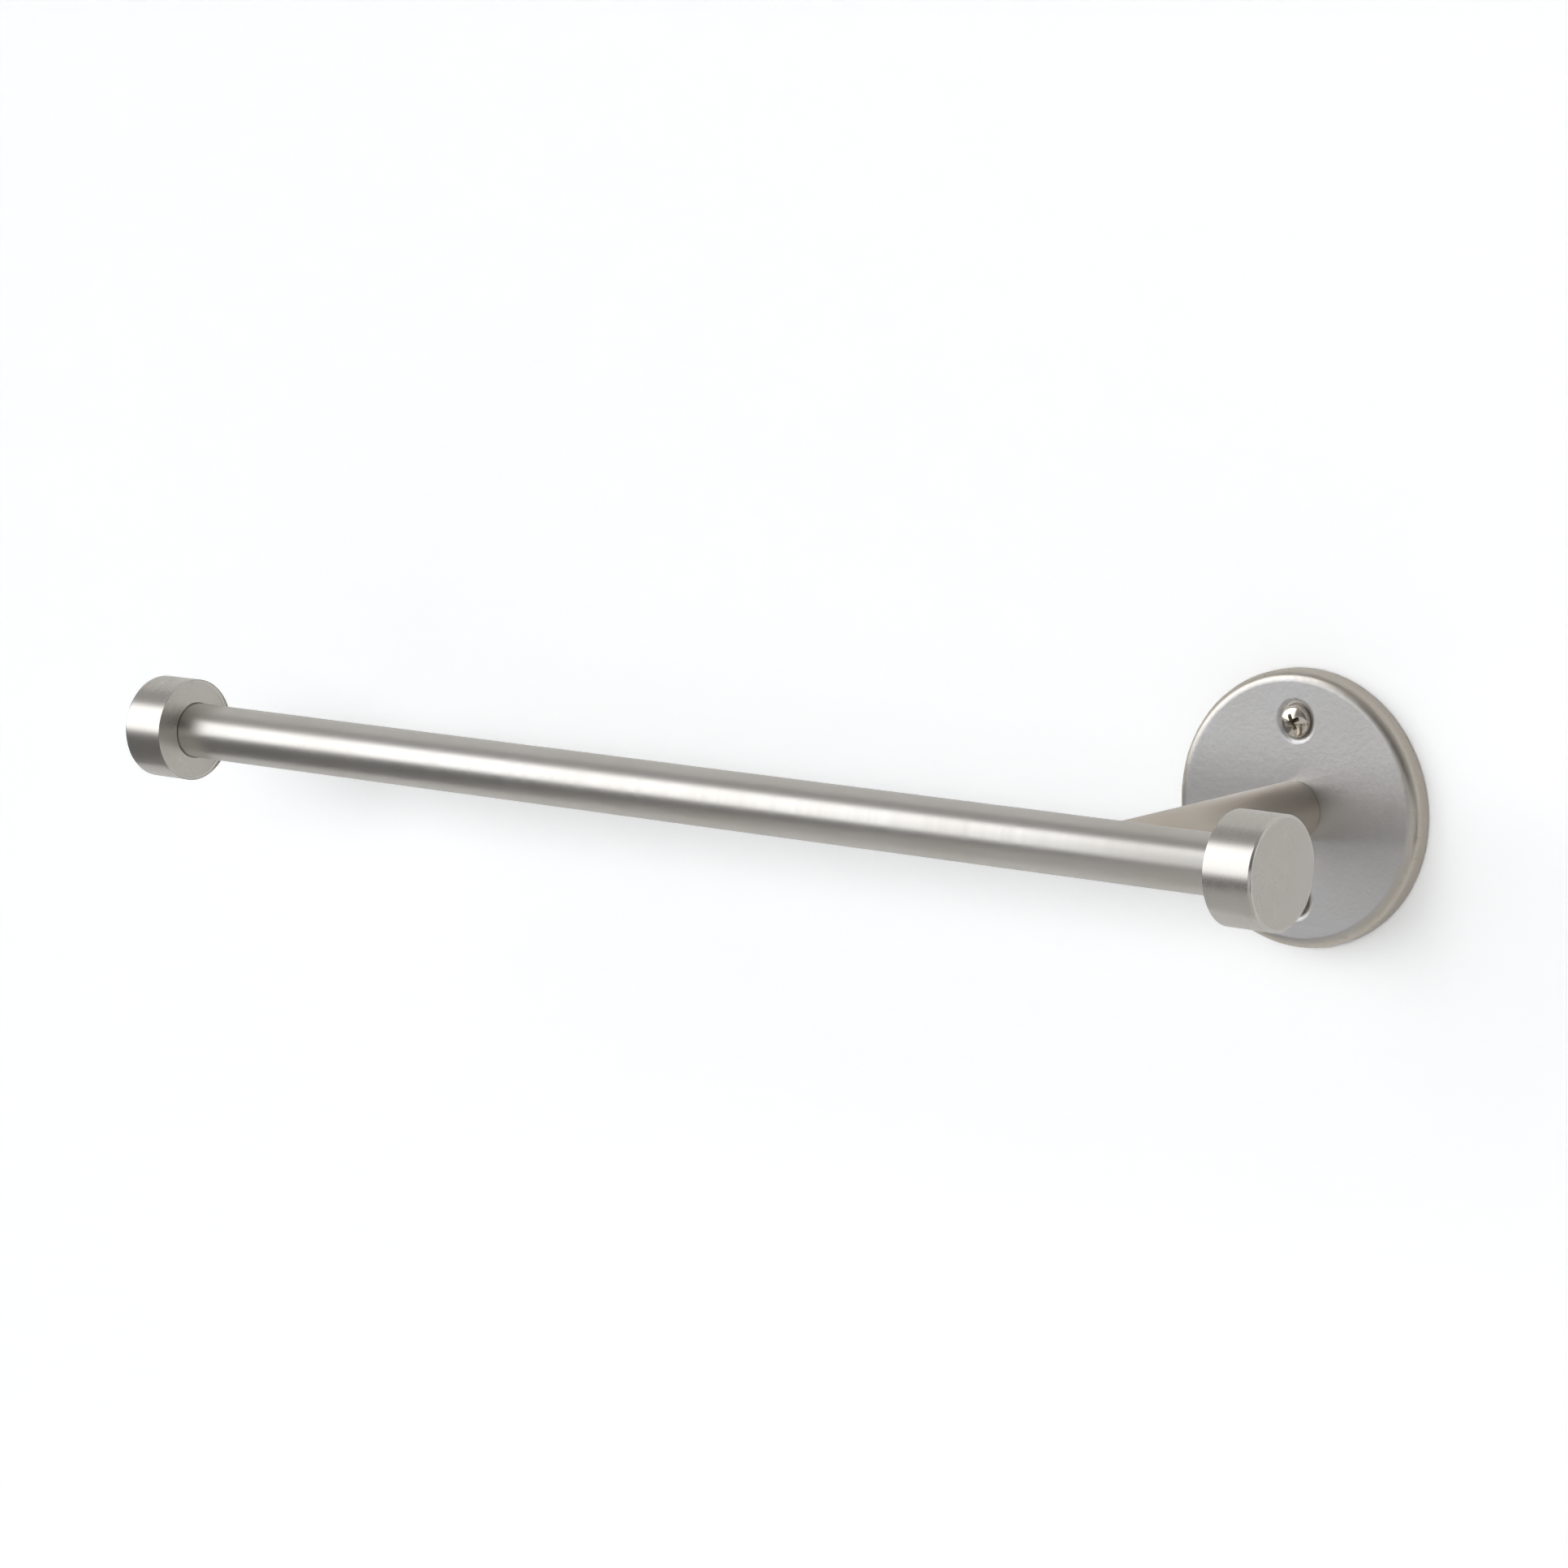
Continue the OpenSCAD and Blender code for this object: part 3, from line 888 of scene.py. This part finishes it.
ROW_TREE = build_row_tree()
pair = run_tree(ROW_TREE, "wall_screw_pair", {
    "Count": 2, "Start": (0, 0, -screw_pitch / 2), "Step": (0, 0, screw_pitch),
    "Material": bright_nickel}, source=one_screw)
screws = keep_piece(pair, "wall_screw_pair", bright_nickel, sharp=40)
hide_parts("wall_screws")

# %% [markdown]
# ## What clamps the arm
# One long screw goes through the plate, up the stem and into a nut inside the bar. From
# behind, its low domed head shows on a toothed washer and a broad flat one. The hexagon
# socket is cut like the cross recess, with a six-sided cutter.

# %% Turn the clamp screw
clamp_low, clamp_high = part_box("clamp_screw")
clamp_head_r, THREAD_R, CLAMP_RIM = clamp_high.x, 2.5 * MM, 0.6 * MM
washer_low, washer_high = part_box("tooth_washer")
clamp_head_h = clamp_high.y - washer_high.y
clamp_l = washer_high.y - clamp_low.y
ROOT_R, THREADED_L = 2.12 * MM, 18 * MM
section = domed_section(clamp_head_r, clamp_head_h, CLAMP_RIM)
section += [(clamp_head_r, 0.1 * MM, 0), (clamp_head_r - 0.1 * MM, 0, 0), (THREAD_R, 0, 0),
            (THREAD_R, THREADED_L - clamp_l, 0), (ROOT_R, THREADED_L - clamp_l - 0.3 * MM, 0),
            (ROOT_R, 0.3 * MM - clamp_l, 0), (ROOT_R - 0.3 * MM, -clamp_l, 0), (0, -clamp_l, 0)]
bm = bmesh.new()
turn(bm, section, Matrix.Identity(4), 64)
blank = close_mesh(bm, "clamp_blank")
bm = bmesh.new()
socket = [(0, clamp_head_h - 1.75 * MM, 0), (1.7 * MM, clamp_head_h - 1.6 * MM, 0),
          (1.73 * MM, clamp_head_h + MM, 0), (0, clamp_head_h + MM, 0)]
turn(bm, socket, Matrix.Identity(4), 6)
clamp_mesh = cut_away(blank, [close_mesh(bm, "socket")], 0.08 * MM)
thread = thread_mesh("machine_thread", THREAD_R, THREAD_R, 0.45 * MM, 0.7 * MM, 0.8 * MM,
                     THREADED_L - MM, zinc, Matrix.Translation((0, 0, 0.5 * MM - clamp_l)))
bm = bmesh.new()
bm.from_mesh(clamp_mesh)
bm.from_mesh(thread)
clamp_mesh = bpy.data.meshes.new("clamp_screw_m5")
bm.to_mesh(clamp_mesh)
bm.free()
clamp_mesh.transform(out_from_wall(-washer_high.y) @ FLIP)
clamp = keep_piece(clamp_mesh, "clamp_screw_m5", zinc, sharp=40)
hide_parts("clamp_screw")

# %% [markdown]
# ## Washers
# The broad washer is one more ring. The toothed one is a ring with ten twisted teeth
# that bite into the metal. The teeth repeat round a circle, so nodes place them.

# %% The broad washer
broad_low, broad_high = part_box("load_washer")
CLEAR_R = 2.75 * MM
washer_mesh = ring_mesh("broad_washer", broad_high.x, CLEAR_R, broad_high.y - broad_low.y,
                        0.12 * MM, zinc, out_from_wall(-broad_high.y), segments=96)
washer = keep_piece(washer_mesh, "broad_washer", zinc)
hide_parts("load_washer")


# %% The toothed washer
def build_teeth_tree():
    tree, start, add = new_tree("ring_of_teeth", [
        ("Count", "Int"), ("Radius", "Float"), ("Size", "Vector"), ("Twist", "Float"),
        ("Material", "Material")])
    tooth = add("GeometryNodeMeshCube", {"Size": start["Size"]})
    lean = add("ShaderNodeCombineXYZ", {"X": start["Twist"]})
    out = add("ShaderNodeCombineXYZ", {"X": start["Radius"]})
    tooth = add("GeometryNodeTransform",
                {"Geometry": tooth, "Translation": out, "Rotation": lean})
    spots = add("GeometryNodeMeshLine", {"Count": start["Count"], "Offset": (0, 0, 0)})
    share = add("ShaderNodeMath", {0: 2 * math.pi, 1: start["Count"]}, operation="DIVIDE")
    number = add("GeometryNodeInputIndex")
    angle = add("ShaderNodeMath", {0: number, 1: share}, operation="MULTIPLY")
    facing = add("ShaderNodeCombineXYZ", {"Z": angle})
    teeth = add("GeometryNodeInstanceOnPoints",
                {"Points": spots, "Instance": tooth, "Rotation": facing})
    finish_tree(tree, start, add, teeth)
    return tree


tooth_r, tooth_t = washer_high.x, washer_high.y - washer_low.y
teeth_place = out_from_wall(-washer_high.y)
teeth = run_tree(build_teeth_tree(), "teeth", {
    "Count": 10, "Radius": tooth_r - 0.75 * MM, "Size": (1.5 * MM, 1.2 * MM, 0.4 * MM),
    "Twist": math.radians(13), "Material": zinc})
teeth.transform(teeth_place @ Matrix.Translation((0, 0, tooth_t / 2)))
ring = ring_mesh("lock_ring", tooth_r - 0.8 * MM, CLEAR_R, tooth_t, 0.08 * MM, zinc,
                 teeth_place, segments=64)
bm = bmesh.new()
bm.from_mesh(teeth)
bm.from_mesh(ring)
lock_mesh = bpy.data.meshes.new("toothed_washer")
bm.to_mesh(lock_mesh)
bm.free()
lock = keep_piece(lock_mesh, "toothed_washer", zinc)
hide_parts("tooth_washer")

# %% [markdown]
# ## Pieces that stay as they are
# The bush in the stem, the nut in the bar, the two plugs and the studs are plain turned
# parts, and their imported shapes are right. They only get a real finish.

# %% Give the inner pieces their finish
for node, finish in (("stem_bush", zinc), ("bar_nut", zinc), ("cap_studs", zinc),
                     ("near_insert", brass), ("far_insert", brass)):
    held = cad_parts[node].data.materials
    held.clear()
    held.append(finish)
    print(node, "is finished in", finish.name)

# %% [markdown]
# ## The studio
# The holder hangs on a white wall that curves into a pale floor. The sheet is seen only
# from its front: from behind, the wall is clear, so the back of the holder can be looked
# at as well. A round opening behind the plate lets light into its hollow.
#
# The paint is three whites in one, told apart by what kind of ray asks. The camera sees
# an over-bright white, as a well-lit product picture has, and only a shadow pulls it
# down. Light that bounces off the wall meets an ordinary white paint. A glossy piece
# mirrors a slightly darker and warmer one, which keeps the metal's own shading.

# %% Bend the wall into the floor
WALL_UP, WALL_DOWN, BEND, FLOOR_OUT = 1.3, 0.55, 0.25, 2.2
LEFT, RIGHT = -0.95, 2.0
BEHIND = 0.15 * MM
opening_r = plate_r - 0.9 * MM


def build_wall():
    bm = bmesh.new()
    corners = [Vector(p) for p in ((LEFT, -WALL_DOWN), (RIGHT, -WALL_DOWN),
                                   (RIGHT, WALL_UP), (LEFT, WALL_UP))]
    circle = circle_points((0, 0), opening_r, 96)
    fill_panel(bm, [corners, circle], lambda p: p.length < opening_r,
               out_from_wall(-BEHIND), 0)
    bend = [(BEND * (1 - math.cos(math.pi / 2 * k / 16)), BEND * math.sin(math.pi / 2 * k / 16))
            for k in range(17)]
    sweep = [(BEHIND - a, -WALL_DOWN - b) for a, b in bend] + [(-FLOOR_OUT, -WALL_DOWN - BEND)]
    for (y0, z0), (y1, z1) in zip(sweep, sweep[1:]):
        bm.faces.new([bm.verts.new(p) for p in ((LEFT, y0, z0), (RIGHT, y0, z0),
                                                (RIGHT, y1, z1), (LEFT, y1, z1))])
    bmesh.ops.remove_doubles(bm, verts=bm.verts, dist=0.01 * MM)
    mesh = bpy.data.meshes.new("studio_wall")
    for face in bm.faces:
        if face.normal.y > 0.01 or face.normal.z < -0.01:
            face.normal_flip()
    bm.to_mesh(mesh)
    bm.free()
    mesh.shade_smooth()
    return mesh


# %% Paint the wall
SEEN_WHITE, BOUNCED_WHITE, MIRRORED_WHITE = 1.26, 0.85, 0.82
MIRRORED_TINT = (1.0, 0.985, 0.96)


def paint_wall():
    material = bpy.data.materials.new("studio_paint")
    material.use_nodes = True
    tree = material.node_tree
    tree.nodes.clear()
    coats = []
    for white, tint in ((SEEN_WHITE, (1, 1, 1)), (BOUNCED_WHITE, (1, 1, 1)),
                        (MIRRORED_WHITE, MIRRORED_TINT)):
        coat = tree.nodes.new("ShaderNodeBsdfDiffuse")
        coat.inputs["Color"].default_value = (*(white * part for part in tint), 1)
        coats.append(coat)
    seen, bounced, mirrored = coats
    path = tree.nodes.new("ShaderNodeLightPath")
    unseen = tree.nodes.new("ShaderNodeMixShader")
    tree.links.new(path.outputs["Is Glossy Ray"], unseen.inputs["Fac"])
    tree.links.new(bounced.outputs[0], unseen.inputs[1])
    tree.links.new(mirrored.outputs[0], unseen.inputs[2])
    paint = tree.nodes.new("ShaderNodeMixShader")
    tree.links.new(path.outputs["Is Camera Ray"], paint.inputs["Fac"])
    tree.links.new(unseen.outputs[0], paint.inputs[1])
    tree.links.new(seen.outputs[0], paint.inputs[2])
    side = tree.nodes.new("ShaderNodeNewGeometry")
    clear = tree.nodes.new("ShaderNodeBsdfTransparent")
    one_sided = tree.nodes.new("ShaderNodeMixShader")
    tree.links.new(side.outputs["Backfacing"], one_sided.inputs["Fac"])
    tree.links.new(paint.outputs[0], one_sided.inputs[1])
    tree.links.new(clear.outputs[0], one_sided.inputs[2])
    end = tree.nodes.new("ShaderNodeOutputMaterial")
    tree.links.new(one_sided.outputs[0], end.inputs["Surface"])
    return material


wall = bpy.data.objects.new("studio_wall", build_wall())
wall.data.materials.append(paint_wall())
bpy.context.scene.collection.objects.link(wall)
print("wall and floor:", len(wall.data.polygons), "faces")

# %% [markdown]
# ## The light
# One large soft light stands in front and to the left, from a little below the bar to
# high above it. It draws the long highlight down the bar. A dimmer one fills from the
# right, low down. Below them the room is dark, which is what makes the dark line under
# the highlight. A dark card stands above the fill, and draws a dark line on the plate's
# shoulder.
#
# A light that large would hardly throw a shadow. So the wall, which is not shiny, is lit
# by a much smaller and stronger lamp instead, a little above and to the right.
#
# The room is painted in the world's nodes. Two angles say where a direction points: how
# far it is turned up about the bar's own direction, and how far it is to the side. Each
# light is a patch of directions. Four angles give it soft edges: where it starts, where
# it is full, where it begins to fade, and where it ends.

# %% How bright the room is, and where
KEY, FILL, SPOT, CARD = 1.8, 0.42, 8.0, 0.5
ALL_LEFT, ALL_RIGHT = (-200, -190), (190, 200)
KEY_UP, KEY_SIDE = (-10, -2, 49, 59), (*ALL_LEFT, -30, -20)
FILL_UP, FILL_SIDE = (-34, -22, 4, 14), (-26, -14, *ALL_RIGHT)
SPOT_UP, SPOT_SIDE = (5, 11, 19, 25), (-6, 4, 26, 36)
CARD_UP, CARD_SIDE = (0, 22, 38, 60), (-4, 18, 42, 64)
LIGHT_TINT, ROOM_TINT = (0.968, 0.985, 1.0), (1.0, 0.99, 0.985)
# turn up about the bar, in degrees, and how bright the room is there
ROOM = ((-180, 0.52), (-120, 0.42), (-90, 0.17), (-40, 0.15), (-10, 0.16), (60, 0.33),
        (80, 0.38), (100, 0.48), (130, 0.60), (180, 0.54))


# %% Paint the room
def add_patch(tree, up, side, up_band, side_band):
    """One inside a patch of directions and nothing outside it, with soft edges."""
    patch = None
    for angle, (start, full, fade, end) in ((up, up_band), (side, side_band)):
        rise = add_range(tree, angle, start, full, smooth=True)
        fall = add_range(tree, angle, fade, end, 1, 0, smooth=True)
        band = add_math(tree, "MULTIPLY", rise, fall)
        patch = band if patch is None else add_math(tree, "MULTIPLY", patch, band)
    return patch


def paint_room(world):
    world.use_nodes = True
    tree = world.node_tree
    tree.nodes.clear()
    direction = tree.nodes.new("ShaderNodeTexCoord").outputs["Generated"]
    parts = tree.nodes.new("ShaderNodeSeparateXYZ")
    tree.links.new(direction, parts.inputs[0])
    front = add_math(tree, "MULTIPLY", parts.outputs["Y"], -1.0)
    up = add_math(tree, "DEGREES", add_math(tree, "ARCTAN2", parts.outputs["Z"], front))
    side = add_math(tree, "DEGREES", add_math(tree, "ARCTAN2", parts.outputs["X"], front))

    ramp = tree.nodes.new("ShaderNodeValToRGB")
    ramp.color_ramp.interpolation = "EASE"
    stops = ramp.color_ramp.elements
    while len(stops) < len(ROOM):
        stops.new(0.5)
    for stop, (angle, value) in zip(stops, ROOM):
        stop.position = (angle + 180) / 360
        stop.color = (*(value * part for part in ROOM_TINT), 1)
    tree.links.new(add_range(tree, up, -180, 180), ramp.inputs["Fac"])
    card = add_patch(tree, up, side, CARD_UP, CARD_SIDE)
    dimmed = tree.nodes.new("ShaderNodeVectorMath")
    dimmed.operation = "SCALE"
    tree.links.new(ramp.outputs["Color"], dimmed.inputs[0])
    tree.links.new(add_math(tree, "MULTIPLY_ADD", card, -CARD, 1.0), dimmed.inputs["Scale"])

    key = add_patch(tree, up, side, KEY_UP, KEY_SIDE)
    spot = add_patch(tree, up, side, SPOT_UP, SPOT_SIDE)
    dim_fill = add_math(tree, "MULTIPLY", add_patch(tree, up, side, FILL_UP, FILL_SIDE), FILL)
    key_and_fill = add_math(tree, "MULTIPLY_ADD", key, KEY, dim_fill)
    spot_and_fill = add_math(tree, "MULTIPLY_ADD", spot, SPOT, dim_fill)
    cool = tree.nodes.new("ShaderNodeVectorMath")
    cool.operation = "SCALE"
    cool.inputs[0].default_value = LIGHT_TINT
    total = tree.nodes.new("ShaderNodeMix")
    total.data_type, total.blend_type = "RGBA", "ADD"
    total.inputs["Factor"].default_value = 1.0
    tree.links.new(dimmed.outputs["Vector"], total.inputs[6])
    tree.links.new(cool.outputs["Vector"], total.inputs[7])

    path = tree.nodes.new("ShaderNodeLightPath")
    lamps = tree.nodes.new("ShaderNodeMix")
    tree.links.new(path.outputs["Is Diffuse Ray"], lamps.inputs["Factor"])
    tree.links.new(key_and_fill, lamps.inputs[2])
    tree.links.new(spot_and_fill, lamps.inputs[3])
    tree.links.new(lamps.outputs[0], cool.inputs["Scale"])

    room = tree.nodes.new("ShaderNodeBackground")
    tree.links.new(total.outputs[2], room.inputs["Color"])
    white = tree.nodes.new("ShaderNodeBackground")
    white.inputs["Color"].default_value = (1, 1, 1, 1)
    choice = tree.nodes.new("ShaderNodeMixShader")
    tree.links.new(path.outputs["Is Camera Ray"], choice.inputs["Fac"])
    tree.links.new(room.outputs[0], choice.inputs[1])
    tree.links.new(white.outputs[0], choice.inputs[2])
    end = tree.nodes.new("ShaderNodeOutputWorld")
    tree.links.new(choice.outputs[0], end.inputs["Surface"])


world = bpy.data.worlds.new("studio_room")
bpy.context.scene.world = world
paint_room(world)
bpy.context.scene.view_settings.view_transform = "Standard"
print("key light", KEY, "fill", FILL, "wall lamp", SPOT)

# %% [markdown]
# ## The camera
# A long lens from the right, a little above the bar, flattens the perspective as a
# product picture does. Its place is measured from the wall plate's centre.

# %% Aim the camera
LENS_MM, SENSOR_MM = 113.69, 36.0
CAMERA_AT = (0.6135, -0.9671, 0.1960)
TURN, TILT, ROLL = 38.523, 9.488, -0.138


def aim_camera():
    turn_to, tilt, roll = (math.radians(v) for v in (TURN, TILT, ROLL))
    forward = Vector((-math.sin(turn_to) * math.cos(tilt),
                      math.cos(turn_to) * math.cos(tilt), -math.sin(tilt)))
    right = Vector((math.cos(turn_to), math.sin(turn_to), 0))
    up = right.cross(forward)
    leaned = math.cos(roll) * right + math.sin(roll) * up
    upright = math.cos(roll) * up - math.sin(roll) * right
    facing = Matrix((leaned, upright, -forward)).transposed().to_4x4()
    data = bpy.data.cameras.new("camera")
    data.lens, data.sensor_width = LENS_MM, SENSOR_MM
    data.clip_start, data.clip_end = 0.05, 20.0
    camera = bpy.data.objects.new("camera", data)
    camera.matrix_world = Matrix.Translation(CAMERA_AT) @ facing
    bpy.context.scene.collection.objects.link(camera)
    bpy.context.scene.camera = camera


aim_camera()
print("camera", bpy.context.scene.camera.name, "lens", LENS_MM, "mm")
